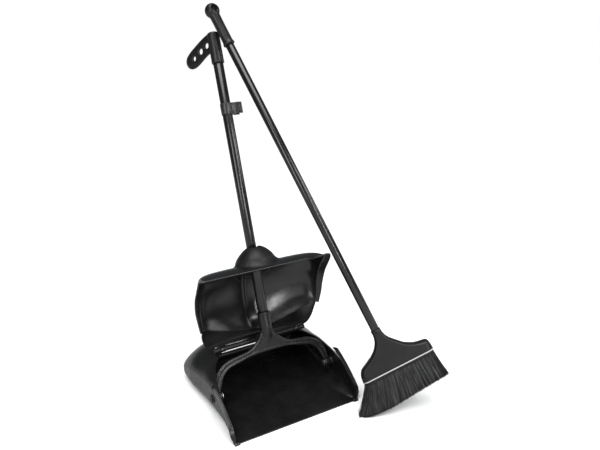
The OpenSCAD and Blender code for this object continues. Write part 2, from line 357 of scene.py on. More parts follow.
def fill(node, inputs):
    """Sets a node's inputs: an output socket is linked, a plain value is written."""
    for name, value in inputs.items():
        if isinstance(value, bpy.types.NodeSocket):
            node.id_data.links.new(value, node.inputs[name])
        else:
            node.inputs[name].default_value = value
    return node


def noise(tree, vector, size_mm, detail=3.0, stretch=None, turn=(0, 0, 0)):
    """Noise whose features are about size_mm across, stretched along local axes if asked."""
    if stretch:
        mapping = tree.nodes.new("ShaderNodeMapping")
        mapping.vector_type = "TEXTURE"
        fill(mapping, {"Rotation": [math.radians(a) for a in turn], "Scale": stretch, "Vector": vector})
        vector = mapping.outputs["Vector"]
    texture = tree.nodes.new("ShaderNodeTexNoise")
    fill(texture, {"Scale": 1 / (size_mm * MM), "Detail": detail, "Vector": vector})
    return texture.outputs["Fac"]


def remap(tree, value, low, high, to_low, to_high):
    node = tree.nodes.new("ShaderNodeMapRange")
    fill(node, {"From Min": low, "From Max": high, "To Min": to_low, "To Max": to_high, "Value": value})
    return node.outputs["Result"]


def blend_colours(tree, factor, first, second):
    node = tree.nodes.new("ShaderNodeMix")
    node.data_type = "RGBA"
    fill(node, {"A": (*first, 1), "B": (*second, 1), "Factor": factor})
    return node.outputs["Result"]


def bump(tree, height, strength, distance_mm, below=None):
    node = tree.nodes.new("ShaderNodeBump")
    fill(node, {"Strength": strength, "Distance": distance_mm * MM, "Height": height})
    if below:
        fill(node, {"Normal": below})
    return node.outputs["Normal"]


def grey(value):
    """Grey with a trace of blue."""
    return (value, value, value * 1.03)


def moulded(name, dark, light, roughness, grain_mm=0.5, grain=0.12, ripple=0.05, specular=0.5,
            scuff=0.12):
    """Moulded or coated surface: cloudy colour, uneven gloss, fine grain, slow sink marks, scuffs."""
    material, tree, shader, place = node_setup(name)
    clouds = remap(tree, noise(tree, place, 45, 4), 0.3, 0.7, 0, 1)
    uneven = remap(tree, noise(tree, place, 16, 5), 0.3, 0.7, roughness * 0.86, roughness * 1.12)
    scratches = noise(tree, place, 1.2, 2, stretch=(1, 1, 26), turn=(18, 24, 0))
    rub = tree.nodes.new("ShaderNodeMath")
    rub.operation = "ADD"
    fill(rub, {0: uneven, 1: remap(tree, scratches, 0.62, 0.75, 0, scuff)})
    slow = bump(tree, noise(tree, place, 38, 1), ripple, 1.2)
    fill(shader, {"Base Color": blend_colours(tree, clouds, grey(dark), grey(light)),
                  "Roughness": rub.outputs["Value"],
                  "Specular IOR Level": specular,
                  "Normal": bump(tree, noise(tree, place, grain_mm, 2), grain, 0.05, slow)})
    return material


def brushed_metal(name, value, roughness):
    """Bare metal with fine lines along X."""
    material, tree, shader, place = node_setup(name)
    lines = noise(tree, place, 0.4, 2, stretch=(30, 1, 1))
    fill(shader, {"Base Color": blend_colours(tree, lines, grey(value * 0.8), grey(value)),
                  "Roughness": remap(tree, lines, 0.3, 0.7, roughness * 0.8, roughness * 1.3),
                  "Normal": bump(tree, lines, 0.1, 0.03),
                  "Metallic": 1.0})
    return material


def filament(name):
    """Bristle plastic: streaks that run with the strands, from near black to dull grey."""
    material, tree, shader, place = node_setup(name)
    streaks = noise(tree, place, 2.4, 3, stretch=(1, 1, 40), turn=BROOM_TURN)
    light = remap(tree, streaks, 0.42, 0.72, 0, 1)
    fill(shader, {"Base Color": blend_colours(tree, light, grey(0.003), grey(0.04)),
                  "Roughness": remap(tree, streaks, 0.3, 0.7, 0.5, 0.36),
                  "Specular IOR Level": 0.4})
    return material


PAN = moulded("pan_plastic", 0.004, 0.008, 0.29, grain=0.015, specular=0.4, scuff=0.02)
HOOD = moulded("hood_plastic", 0.004, 0.008, 0.24, grain=0.015, specular=0.5, ripple=0.1, scuff=0.02)
MATTE = moulded("hub_plastic", 0.004, 0.008, 0.46, grain=0.05, specular=0.28, scuff=0.05)
COAT = moulded("satin_coat", 0.004, 0.007, 0.22, grain_mm=0.9, grain=0.01, ripple=0.02, specular=0.55,
               scuff=0.0)
GRIP = moulded("grip_plastic", 0.005, 0.009, 0.38, grain_mm=0.35, grain=0.1, specular=0.4, scuff=0.03)
CLIP = moulded("clip_plastic", 0.012, 0.018, 0.34, grain_mm=0.4, grain=0.06, scuff=0.04)
HEAD = moulded("head_plastic", 0.005, 0.009, 0.42, grain_mm=0.4, grain=0.08, specular=0.28, scuff=0.03)
STRIP = moulded("strip_vinyl", 0.36, 0.45, 0.5, grain_mm=0.5, grain=0.2, specular=0.4)
STEEL = brushed_metal("zinc_steel", 0.6, 0.3)
BRISTLE = filament("filament")


# ---------------------------------------------------------------- pan

LIP_Y = -122.0
MOUTH_HALF = 166.0
# Half width of the walls at stations along the pan
WIDTH_Y = (-122, 0, 60, 130, 190)
WIDTH_X = (166, 168, 171, 177, 177)
# Radius between floor and wall at stations along the pan
FOOT_Y = (-122, -99, -50, 25, 60, 132)
FOOT_R = (3, 20, 40, 39, 36, 31)
ROOF_Z = 125.0
# Superellipse power of the corner between wall and roof
CORNER_POWER = 1.55
REAR_Y = 226.0
# Radius of the rear corners in plan
REAR_CORNER = 60.0
# Depth where the roof starts to fall, and its height where it meets the rear
ROOF_BREAK = 80.0
REAR_SEAM_Z = 22.0
# Radius between floor and rear
HEEL = 15.0
WALL = 3.0
# Front edge of each side wall, (y, z) from the lip to the roof
RIM_LINE = [(-122, 0), (-121, 9), (-119, 19), (-112, 34), (-93, 49), (-70, 65), (-46, 78),
            (-22, 89), (-10, 92), (20, 104), (54, 116), (84, 125)]


def roof_height(y):
    """Quarter ellipse from the roof down to the rear's foot."""
    if y <= ROOF_BREAK:
        return ROOF_Z
    run = (y - ROOF_BREAK) / (REAR_Y - ROOF_BREAK)
    return REAR_SEAM_Z + (ROOF_Z - REAR_SEAM_Z) * math.sqrt(max(1 - run * run, 0))


def floor_height(y):
    lift = (y - (REAR_Y - HEEL)) / HEEL
    return HEEL - HEEL * math.sqrt(max(1 - lift * lift, 0)) if lift > 0 else 0.0


def half_width(y):
    wide = float(np.interp(y, WIDTH_Y, WIDTH_X))
    start = REAR_Y - REAR_CORNER
    if y <= start:
        return wide
    return wide - REAR_CORNER + math.sqrt(max(REAR_CORNER ** 2 - (y - start) ** 2, 0))


def pan_section(y, t):
    """Point (x, z) of the outer skin's right half at depth y; t runs 0 to 1 from floor to roof middle."""
    w, low, high = half_width(y), floor_height(y), roof_height(y)
    foot = min(float(np.interp(y, FOOT_Y, FOOT_R)), (high - low) * 0.3)
    slack = smoothstep(30, 100, y)
    down = min(mix(50, 59, slack), (high - low) * 0.6)
    across = mix(66, 88, slack) * min(1.0, w / 120)
    if t < 0.18:
        return mix(0, w - foot, t / 0.18), low
    if t < 0.34:
        a = math.radians(90 * (t - 0.18) / 0.16)
        return w - foot + foot * math.sin(a), low + foot - foot * math.cos(a)
    if t < 0.56:
        return w, mix(low + foot, high - down, (t - 0.34) / 0.22)
    if t < 0.80:
        a = math.radians(90 * (t - 0.56) / 0.24)
        return (w - across + across * max(math.cos(a), 0) ** (2 / CORNER_POWER),
                high - down + down * math.sin(a) ** (2 / CORNER_POWER))
    return mix(w - across, 0, (t - 0.80) / 0.20), high


def mouth_start(t):
    """Depth where the skin's line t meets the mouth's edge."""
    near, far = LIP_Y, RIM_LINE[-1][0]
    for _ in range(18):
        y = (near + far) / 2
        if rim_y(pan_section(y, t)[1]) > y:
            near = y
        else:
            far = y
    return near


def rim_y(z):
    """Depth of the mouth's edge at height z."""
    return float(np.interp(z, [p[1] for p in RIM_LINE], [p[0] for p in RIM_LINE]))


def pan_shell():
    """Floor, walls, roof and rear in one skin, open at the mouth."""
    steps = shares(100)
    starts = {t: mouth_start(t) for t in steps}
    rows = []
    for v in shares(90):
        row = []
        for side, order in ((1, steps), (-1, steps[-2:0:-1])):
            for t in order:
                y = REAR_Y - (REAR_Y - starts[t]) * (1 - v) ** 1.8
                x, z = pan_section(y, t)
                row.append((side * x, y, z))
        rows.append(row)
    piece = grid("scoop_shell", rows, close_cols=True)
    thicken(piece, WALL)
    return bevel(piece, 0.9, angle=50, segments=3)


def pan_lip():
    """Low rounded bead along the front edge of the floor."""
    profile = [(0, 0.05), (0.2, 1.0), (1.0, 2.0), (2.4, 2.6), (4.6, 3.0), (8, 3.2), (11, 3.15), (11, 0.05)]
    table = [[(x, LIP_Y - 0.8 + a, b) for a, b in profile] for x in (-163, -100, -40, 0, 40, 100, 163)]
    return keep_sharp(grid("lip_bead", table, close_cols=True, caps=True), 60)


def pan_rim():
    """Flange turned outward along the front edge of a side wall."""
    line = even_spline(RIM_LINE[:9], 60)
    table = []
    for k, (y, z) in enumerate(line):
        ahead = line[min(k + 1, len(line) - 1)] - line[max(k - 1, 0)]
        ahead /= np.linalg.norm(ahead)
        inward = np.array([ahead[1], -ahead[0]])
        w = half_width(y)
        width = 8.0 * smoothstep(-1.0, 9.0, k) * smoothstep(-1, 3, len(line) - 1 - k)
        loop = rounded([(w - 2.4, 0.0), (w + width, 0.0), (w + width, 3.6), (w - 0.4, 3.6),
                        (w - 2.4, 3.6), (w - 2.4, 0.0)], 1.3, 3)
        table.append([(x, y + inward[0] * d, max(z + inward[1] * d, 0.0)) for x, d in loop[:-1]])
    return keep_sharp(grid("scoop_rim_right", table, close_cols=True, caps=True), 50)


def pan_foot():
    """Small foot under the lip's corner."""
    outline = rounded([(LIP_Y + 6, 0.0), (LIP_Y - 4.5, 0.0), (LIP_Y - 5, 2.2), (LIP_Y - 1, 5.2),
                       (LIP_Y + 8, 6.5), (LIP_Y + 10, 0.0)], 1.5)
    return bevel(prism("lip_foot_right", outline, MOUTH_HALF - 11.5, MOUTH_HALF + 1.5, SIDE_VIEW), 0.8, 30)


# The knuckles' inner and outer faces
KNUCKLE_IN, KNUCKLE_OUT = 98.0, 112.0


def pan_knuckle():
    """Hinge knuckle on the front edge of the roof, with its web."""
    y, z = HINGE.y, HINGE.z
    ring = [(y + 7 * math.cos(math.radians(a)), z + 7 * math.sin(math.radians(a)))
            for a in range(120, 301, 12)]
    outline = ring + [(y + 9, z - 6.2), (y + 20, z - 2), (y + 20, z + 1), (y + 6, z + 2)]
    block = prism("hood_knuckle_right", outline, KNUCKLE_IN, KNUCKLE_OUT, SIDE_VIEW)
    bore = lathe("bore", [(0, 90), (2.6, 90), (2.6, 120), (0, 120)], along_x((0, y, z)), 32)
    return bevel(cut(block, bore), 0.7, 35)


def pan_boss():
    """Round boss on the outer wall around the swing pin, and its short stand inside the wall."""
    outline = rounded([(5.0, 159.8), (13.0, 159.8), (14.0, 163.5), (14.0, 168.2), (12.4, 169.4),
                       (10.2, 169.4), (9.6, 168.4), (5.0, 168.4), (5.0, 159.8)], 0.7, 3)
    return keep_sharp(lathe("pivot_boss_right", outline, along_x((0, PIVOT.y, PIVOT.z)), 64), 40)


def pan_stop():
    """Slim rib inside the wall that the yoke's arm comes to rest above."""
    outline = rounded([(-2.2, 0), (2.2, 0), (1.4, 17), (-1.4, 17), (-2.2, 0)], 1)[:-1]
    place = Matrix.Translation((160.5, -6, 17)) @ turn_about("Z", 90) @ turn_about("X", 90)
    return bevel(prism("arm_stop_right", outline, -4.5, 1.0, place), 0.5, 30)


def pivot_pin():
    """Swing pin with a dished round head on the outer wall."""
    outline = rounded([(0, 139.0), (3.6, 139.0), (4.5, 140.0), (4.5, 168.6), (9.0, 168.6), (9.0, 171.6),
                       (7.6, 172.9), (3.4, 173.0), (3.0, 172.0), (0, 172.0)], 0.8, 3)
    return keep_sharp(lathe("pivot_pin_right_turned", outline, along_x((0, PIVOT.y, PIVOT.z)), 56), 40)


def pin_retainer():
    """Push-on ring with a dished face and six notches in its bore."""
    steps, notches = 96, 6
    table = []
    for k in range(steps):
        a = 2 * math.pi * k / steps
        bore = 4.85 if k % (steps // notches) in (0, 1, steps // notches - 1) else 4.5
        loop = [(bore, 141.0), (5.6, 140.9), (8.0, 141.9), (8.0, 143.2), (5.8, 142.6), (bore, 142.2)]
        table.append([(r * math.cos(a), r * math.sin(a), h) for r, h in loop])
    ring = grid("pin_retainer_right_toothed", table, along_x((0, PIVOT.y, PIVOT.z)),
                close_rows=True, close_cols=True)
    return keep_sharp(ring, 40)


def build_pan():
    finish_piece(pan_shell(), "pan", "pan_plastic", PAN, "scoop")
    finish_piece(pan_lip(), "pan", "pan_plastic", PAN)
    for side in ("right", "left"):
        for maker in (pan_rim, pan_foot, pan_knuckle, pan_boss, pan_stop):
            finish_piece(on_side(maker(), side), "pan", "pan_plastic", PAN)
        finish_piece(on_side(pivot_pin(), side), "pan", "grip_plastic", GRIP, "pivot_pin_" + side)
        finish_piece(on_side(pin_retainer(), side), "pan", "steel", STEEL, "pin_retainer_" + side)
    rod = lathe("hood_hinge_rod_turned", rounded([(0, -127), (2.5, -127), (2.5, 127), (0, 127)], 0.6, 2),
                along_x(HINGE), 32)
    keep_sharp(rod, 40)
    finish_piece(rod, "pan", "steel", STEEL, "hood_hinge_rod")


build_pan()


# ---------------------------------------------------------------- hood

# Mouth edge of the hood's right half (x, y, z), from the step of its flange up to the lip's corner
MOUTH = [(157, 66.5, 193), (158.5, 66, 208), (160, 66, 224), (161, 68, 250), (160.5, 61, 284),
         (159, 47, 309), (158, 36, 325), (157.5, 29, 338)]
# Outer edge of that flange
MOUTH_OUT = [(165.5, 62, 191), (169, 61, 208), (172, 60, 224), (175.5, 60, 250), (177.5, 52, 284),
             (178, 39, 309), (178, 30, 326), (176.5, 26, 337)]
# Middle of the bowl (y, z), from the crease over the back to the lip
BOWL_MIDDLE = [(84, 150), (101, 170), (114, 195), (122, 225), (125, 258), (121, 288), (107, 314),
               (84, 329), (57, 336), (29, 338)]
# Lower edge of the pocket's right half (x, y, z), from the hinge line around to the flange's step
POCKET_EDGE = [(0, 82, 126), (40, 82, 126), (80, 82, 126), (110, 82, 126), (126, 81, 126), (137, 80, 130),
               (145, 79, 137), (152, 78, 148), (156, 76, 161), (157.5, 72, 176), (157, 66.5, 193)]
# Inner and outer edge of the lip's right half (x, y, z), from its corner to its middle
LIP_IN = [(150, 29, 338.4), (138, 29, 338.4), (70, 29, 338.4), (0, 29, 338.4)]
LIP_OUT = [(169, 25, 341.4), (140, 24.6, 341.6), (70, 24.6, 341.6), (0, 24.6, 341.6)]
SKIN = 2.6


def both_halves(half):
    """Edge from the right foot over the lip's middle to the left foot."""
    return half + [(-x, y, z) for x, y, z in half[-2::-1]]


def arch_fraction(x, power):
    """1 at the middle, 0 at the edge, along a superellipse."""
    return max(1 - min(abs(x), 1) ** power, 0) ** (1 / power)


def bowl_point(v, q):
    """v runs from crease to lip, q from -1 at the left edge to 1 at the right edge."""
    edge = spline(MOUTH, v)
    y_mid, z_mid = spline(BOWL_MIDDLE, v)
    a = abs(q)
    x = edge[0] * math.sin(a * math.pi / 2)
    share = x / edge[0]
    full = arch_fraction(share, mix(2.3, 7.0, smoothstep(0.5, 0.92, v)))
    rise = mix(1 - share ** 1.5, full, smoothstep(0, 0.5, v))
    back = mix(arch_fraction(share, 1.7), full, smoothstep(0, 0.5, v))
    groove = 7.0 * (1 - smoothstep(13, 24, x)) * smoothstep(0.0, 0.12, v) * (1 - smoothstep(0.62, 0.8, v))
    return (math.copysign(x, q), mix(edge[1], y_mid, back) + groove, mix(edge[2], z_mid, rise))


def hood_shell():
    """Single sheet: the pocket from its foot to the crease, then the bowl from the crease to the lip."""
    columns = [k / 48 for k in range(-48, 49)]
    rows = []
    crease = [bowl_point(0, q) for q in columns]
    for u in shares(14)[:-1]:
        row = []
        for q, top in zip(columns, crease):
            foot = spline(POCKET_EDGE, abs(q))
            x = math.copysign(foot[0], q)
            bulge = 3.0 * math.sin(math.pi * u) * (1 - abs(q) ** 4)
            row.append((mix(x, top[0], u), mix(foot[1], top[1], u) + bulge, mix(foot[2], top[2], u)))
        rows.append(row)
    for v in shares(64):
        rows.append([bowl_point(v, q) for q in columns])
    return grid("hood_shell", rows)


def hood_flange():
    """Turned-out rim that runs up one side, along the lip and down the other side."""
    full_in = both_halves(MOUTH + LIP_IN)
    full_out = both_halves(MOUTH_OUT + LIP_OUT)
    table = []
    last = None
    for t in shares(240):
        a, b = Vector(spline(full_in, t)), Vector(spline(full_out, t))
        ahead = Vector(spline(full_in, min(t + 0.004, 1))) - Vector(spline(full_in, max(t - 0.004, 0)))
        across = (b - a).normalized()
        normal = ahead.cross(across).normalized()
        last = normal if last is None or normal.dot(last) > 0 else -normal
        half = 1.6
        width = (b - a).length
        edge = arc((width - 2.3, 0), 2.3, -135, 135, 9)
        loop = [(-1.5, -half)] + edge + [(-1.5, half)]
        table.append([tuple(a + across * d + normal * h) for d, h in loop])
    return keep_sharp(grid("hood_flange", table, close_cols=True, caps=True), 60)


def mouth_bead():
    """Round bead that follows the inner edge of the mouth."""
    full = both_halves(MOUTH + LIP_IN)
    table = []
    for t in shares(260):
        here = Vector(spline(full, t))
        ahead = Vector(spline(full, min(t + 0.004, 1))) - Vector(spline(full, max(t - 0.004, 0)))
        ahead.normalize()
        side = ahead.cross(Vector((0, 1, 0))).normalized()
        front = side.cross(ahead).normalized()
        table.append([tuple(here + side * a + front * b) for a, b in ellipse(2.3, 2.3, 14)])
    return grid("hood_mouth_bead", table, close_cols=True, caps=True)


def hub_frame():
    return HANDLE @ Matrix.Translation((0, -14.0, 0))


# Outside of the hub (radius, distance along the handle), from its skirt to its crown
BELL = [(55, 256), (55.5, 272), (55, 284), (53, 295), (49, 305), (43, 314), (35.5, 322), (28, 328.5),
        (21, 333), (14, 335.8), (7, 337.2), (0, 337.5)]
# How far the foot of the bell stands behind its crown
BELL_SHIFT = 6.0


def hub(skin):
    """Bell on the hood's top whose foot flares into the hood's skin."""
    place = hub_frame()

    def at(out, r, s):
        shift = BELL_SHIFT * (1 - smoothstep(285, 335, s))
        return place @ Vector((0, shift, s)) + out * r

    tree = BVHTree.FromPolygons([v.co / MM for v in skin.data.vertices],
                                [tuple(p.vertices) for p in skin.data.polygons])
    bell = even_spline(BELL, 60)[::-1]
    table = []
    steps = 120
    for k in range(steps):
        a = 2 * math.pi * k / steps
        out = place.to_3x3() @ Vector((math.cos(a), math.sin(a), 0))
        base = len(bell) - 1
        for i, (r, s) in enumerate(bell):
            p = at(out, r, s)
            hit, normal, _, gap = tree.find_nearest(p)
            if i > 12 and ((p - hit).dot(normal) < 0 or gap < 1.0):
                base = i
                break
        top = bell[:max(base - 9, 8)]
        column = [tuple(at(out, r, s)) for r, s in top[:-1]]
        high = at(out, *top[-1])
        knee = at(out, *bell[base])
        foot, normal, _, _ = tree.find_nearest(knee + out * 12.0)
        foot = foot - normal * 0.8
        for i in range(15):
            t = i / 14
            column.append(tuple((1 - t) ** 2 * high + 2 * t * (1 - t) * knee + t * t * foot))
        count = 62
        run = np.array(column)
        length = np.concatenate([[0], np.cumsum(np.linalg.norm(np.diff(run, axis=0), axis=1))])
        wanted = np.linspace(0, length[-1], count)
        table.append([tuple(np.interp(w, length, run[:, c]) for c in range(3)) for w in wanted])
    piece = grid("hood_hub", table, close_rows=True)
    thicken(piece, SKIN)
    return piece


def slot_tool():
    """Long hole in the hub in which the handle's tube slides."""
    outline = arc((0, 3.5), 14.8, 0, 180, 16) + arc((0, -18.0), 14.8, 180, 360, 16)
    return prism("slot_tool", outline, 300, 420, HANDLE)


# Radius and bore of the hood's hinge barrels
BARREL_R, BARREL_BORE = 6.0, 2.7
# Gap between a knuckle and the barrel beside it
KNUCKLE_GAP = 0.6


def hood_barrel(name, low, high):
    """Stretch of hinge barrel around the rod."""
    outline = rounded([(BARREL_BORE, low), (BARREL_R, low), (BARREL_R, high), (BARREL_BORE, high)], 0.7, 3)
    return keep_sharp(ring_solid(name, outline, along_x(HINGE), 40), 50)


def barrel_web(name, low, high):
    """Gusset between a stretch of hinge barrel and the pocket's foot."""
    y, z = HINGE.y, HINGE.z
    outline = [(y + 2.0, z + 4.5), (y + 3.4, z + 8), (y + 6.4, z + 8), (y + 6.4, z), (y + 4, z - 3),
               (y + 2, z)]
    return bevel(prism(name, outline, low, high, SIDE_VIEW), 0.6, 30)


def build_hood():
    shell = hood_shell()
    # The skin grows to the rear, away from the bowl's inside
    middle = shell.data.polygons[len(shell.data.polygons) // 2]
    thicken(shell, SKIN, offset=1.0 if middle.normal.y > 0 else -1.0)
    bell = hub(shell)
    opening = lathe("opening", [(0, 200), (44, 200), (44, 420), (0, 420)], hub_frame(), 64)
    room = [(0, KNUCKLE_IN - 0.8), (8.2, KNUCKLE_IN - 0.8), (8.2, KNUCKLE_OUT + 0.8), (0, KNUCKLE_OUT + 0.8)]
    cut(shell, opening, *[lathe("knuckle_room", room, along_x(HINGE, right), 40) for right in (True, False)])
    keep_sharp(shell, 32)
    cut(bell, slot_tool())
    bevel(bell, 0.8, 55)
    finish_piece(shell, "hood", "pan_plastic", HOOD, "hood")
    finish_piece(bell, "hood", "pan_plastic", MATTE)
    finish_piece(hood_flange(), "hood", "pan_plastic", HOOD)
    finish_piece(mouth_bead(), "hood", "pan_plastic", HOOD)
    inner, outer = KNUCKLE_IN - KNUCKLE_GAP, KNUCKLE_OUT + KNUCKLE_GAP
    for name, low, high in (("middle", -inner, inner), ("right", outer, 128), ("left", -128, -outer)):
        finish_piece(hood_barrel("hood_barrel_" + name, low, high), "hood", "pan_plastic", MATTE)
    for name, low, high in (("middle", -inner, inner), ("right", outer, 126), ("left", -126, -outer)):
        finish_piece(barrel_web("barrel_web_" + name, low, high), "hood", "pan_plastic", HOOD)


build_hood()


# ---------------------------------------------------------------- handle

# Upper and lower edge of the yoke's right half (x, distance along the handle)
YOKE_UPPER = [(159, 0), (159, 24), (158, 35), (155, 43), (149, 52), (141, 61), (130, 69), (118, 75),
              (104, 79), (83, 82), (59, 85.5), (46, 91), (35, 100), (27, 107), (20, 117), (16, 124),
              (14, 132)]
YOKE_LOWER = [(144, 0), (144, 10), (138, 26), (130, 42), (121, 51), (111, 57), (99, 60), (80, 64),
              (57, 69), (30, 71), (0, 71.4)]
COLLAR_R = 15.5
TUBE_R = 12.5
TUBE_FOOT = 128.0
# Frame of the collar's screw, whose +Z points to the rear
SCREW = HANDLE @ Matrix.Translation((0, 0, 150.0)) @ turn_about("X", -90)


def along_path(points, t):
    """Point at share t of a polyline's length."""
    points = np.asarray(points, float)
    run = np.concatenate([[0], np.cumsum(np.linalg.norm(np.diff(points, axis=0), axis=1))])
    return np.array([np.interp(t * run[-1], run, points[:, c]) for c in range(2)])


UPPER = even_spline(YOKE_UPPER, 200)
LOWER = even_spline(YOKE_LOWER, 200)


def yoke_thickness(x, s, edge):
    """Half thickness of the arch: round borders, a flatter face, a round neck under the collar."""
    plate = 4.2 + 0.8 * (1 - smoothstep(5.5, 9.5, edge))
    reach = COLLAR_R * smoothstep(74, 128, s)
    neck = math.sqrt(max(reach ** 2 - x ** 2, 0))
    solid = (plate ** 3 + neck ** 3) ** (1 / 3)
    round_off = 1 - min(edge / 6.0, 1)
    return solid * math.sqrt(max(1 - round_off ** 2, 0))


def yoke_arch():
    """Both limbs in one loft, whose stations run from the right arm's end to the left one's."""
    inset = [0, 0.12, 0.45, 1.0, 1.8, 2.8, 4.0, 5.4, 6.8, 8.2, 9.8]
    stations = shares(110)
    table = []
    for side, order in ((1, stations), (-1, stations[-2::-1])):
        for t in order:
            top, foot = along_path(UPPER, t), along_path(LOWER, t)
            width = float(np.linalg.norm(top - foot))
            squeeze = min(1.0, width * 0.5 / 11.0)
            near = [d * squeeze for d in inset]
            middle = [mix(near[-1], width - near[-1], k / 10) for k in range(1, 10)]
            spots = near + middle + [width - d for d in reversed(near)]
            front, rear = [], []
            for d in spots:
                x, s = foot + (top - foot) * (d / width)
                half = yoke_thickness(x, s, min(d, width - d) / squeeze)
                front.append((side * x, -half, s))
                rear.append((side * x, half, s))
            table.append(front + rear[-2:0:-1])
    return keep_sharp(grid("yoke_arch", table, HANDLE, close_cols=True, caps=True), 60)


def yoke_collar():
    """Socket for the tube, with the screw's hole at its rear."""
    outline = rounded([(12.55, 126), (14.6, 126), (15.5, 134), (15.5, 164.6), (16.3, 165.4), (16.3, 169.0),
                       (15.4, 170), (12.55, 170)], 0.7, 3)
    collar = ring_solid("yoke_collar", outline, HANDLE, 80)
    hole = lathe("hole", [(0, 0), (2.05, 0), (2.05, 40), (0, 40)], SCREW, 24)
    return keep_sharp(cut(collar, hole), 40)


def arm_boss():
    """Round end of the yoke's arm on the swing pin."""
    outline = rounded([(4.6, 144.1), (11.6, 144.1), (13, 145.5), (13, 157.5), (11.6, 158.9), (4.6, 158.9)],
                      0.8, 3)
    return keep_sharp(ring_solid("arm_boss_right", outline, along_x((0, PIVOT.y, PIVOT.z)), 64), 40)


def collar_screw():
    """Screw with a cross recess in its domed head."""
    outline = rounded([(0, 2), (2, 2), (2, 15.3), (4.2, 15.3), (4.2, 16.2), (2.8, 17.6), (0, 17.9)], 0.5, 3)
    screw = lathe("collar_screw_cross", outline, SCREW, 40)
    for angle in (0, 90):
        blade = prism("blade", [(-2.6, -0.45), (2.6, -0.45), (2.6, 0.45), (-2.6, 0.45)], 16.6, 20,
                      SCREW @ turn_about("Z", angle))
        cut(screw, blade)
    return keep_sharp(screw, 40)


GRIP_TOP = 871.0
GRIP_LEN = 76.0
# Where the plate points, in degrees from the handle's +X
PLATE_TURN = 115.0
# Plate's upper and lower edge (distance from the tube's axis, distance along the handle)
PLATE_TOP = [(6, 868), (16, 868), (27, 865.5), (46, 859), (66, 851), (82, 844), (92, 838)]
PLATE_TIP = (85, 824)
PLATE_TIP_R = 15.6
PLATE_FOOT = [(86, 808.4), (77, 808.8), (66, 812), (54, 817), (42, 822.5), (24, 828.5), (6, 831)]
# Holes in the plate (distance from the tube's axis, distance along the handle, radius)
HOLES = [(26, 846, 7.2), (49, 838.5, 7.7), (75, 828, 6.3)]


def grip_sleeve():
    """Closed sleeve over the tube's top."""
    top, foot = GRIP_TOP, GRIP_TOP - GRIP_LEN
    outline = [(12.6, foot), (15.0, foot), (15.6, foot + 0.8), (15.6, foot + 3.2), (15.2, foot + 4.2),
               (15.3, foot + 5), (15.3, top - 6)] + arc((9.3, top - 6), 6, 0, 90, 8)
    outline += [(0, top), (0, top - 4), (12.6, top - 6.2), (12.6, foot)]
    return keep_sharp(lathe("hand_grip_sleeve", outline, HANDLE, 80), 40)


def plate_frame():
    """Frame whose x and y run outward and up in the plate's plane."""
    return HANDLE @ turn_about("Z", PLATE_TURN) @ turn_about("X", 90)


def grip_plate():
    """Hanging plate with three holes, a raised border and a raised ring around each hole."""
    place = plate_frame()
    top = [tuple(p) for p in even_spline(PLATE_TOP, 26)]
    foot = [tuple(p) for p in even_spline(PLATE_FOOT, 26)]
    outline = top + arc(PLATE_TIP, PLATE_TIP_R, 58, -76, 18) + foot
    plate = prism("hand_grip_plate", outline, -2.8, 2.8, place)
    for t, s, r in HOLES:
        hole = [(0, -20), (r, -20), (r, 20), (0, 20)]
        cut(plate, lathe("hole", hole, place @ Matrix.Translation((t, s, 0)), 48))
    bevel(plate, 0.5, 50, 2)
    border = bead("hand_grip_border", outline[::-1], [(a - 1.8, b) for a, b in ellipse(2.2, 3.8, 14)], place,
                  closed=True)
    rings = []
    for n, (t, s, r) in enumerate(HOLES):
        profile = [(r + 1.3 + a, b) for a, b in ellipse(1.3, 3.9, 14)]
        rings.append(ring_solid("hand_grip_ring_%d" % (n + 1), profile,
                                place @ Matrix.Translation((t, s, 0)), 56))
    return [plate, border] + rings


# Clip's foot along the handle, its height, and how far its jaw's centre is from the tube's axis
CLIP_S, CLIP_H, CLIP_X = 667.0, 28.0, 27.0


def broom_clip():
    """Band around the handle tube with an open jaw for the broom's tube."""
    jaw_out, jaw_in, band = 13.0, 10.5, 14.2
    outline = arc((CLIP_X, 0), jaw_out, 50, 132, 14)
    outline += arc((0, 0), band, 44, 316, 44)
    outline += arc((CLIP_X, 0), jaw_out, -132, -50, 14)
    outline += [(CLIP_X + 10.4, -12.2), (CLIP_X + 11.6, -11.0), (CLIP_X + 10.2, -9.4)]
    outline += arc((CLIP_X, 0), jaw_in, -50, -310, 40)
    outline += [(CLIP_X + 10.2, 9.4), (CLIP_X + 11.6, 11.0), (CLIP_X + 10.4, 12.2)]
    clip = prism("broom_clip_jaw", outline, CLIP_S, CLIP_S + CLIP_H, HANDLE)
    bore = lathe("bore", [(0, CLIP_S - 5), (12.55, CLIP_S - 5), (12.55, CLIP_S + 40), (0, CLIP_S + 40)],
                 HANDLE, 64)
    cut(clip, bore)
    bevel(clip, 0.8, 40, 3)
    ribs = []
    for n, angle in enumerate((-100, 100)):
        a = math.radians(angle)
        at = Matrix.Translation((CLIP_X + jaw_out * math.cos(a), jaw_out * math.sin(a), 0))
        rib = prism("broom_clip_rib_%d" % (n + 1), ellipse(1.3, 1.3, 14), CLIP_S + 0.6,
                    CLIP_S + CLIP_H - 0.6, HANDLE @ at)
        ribs.append(bevel(rib, 0.5, 50, 2))
    return [clip] + ribs


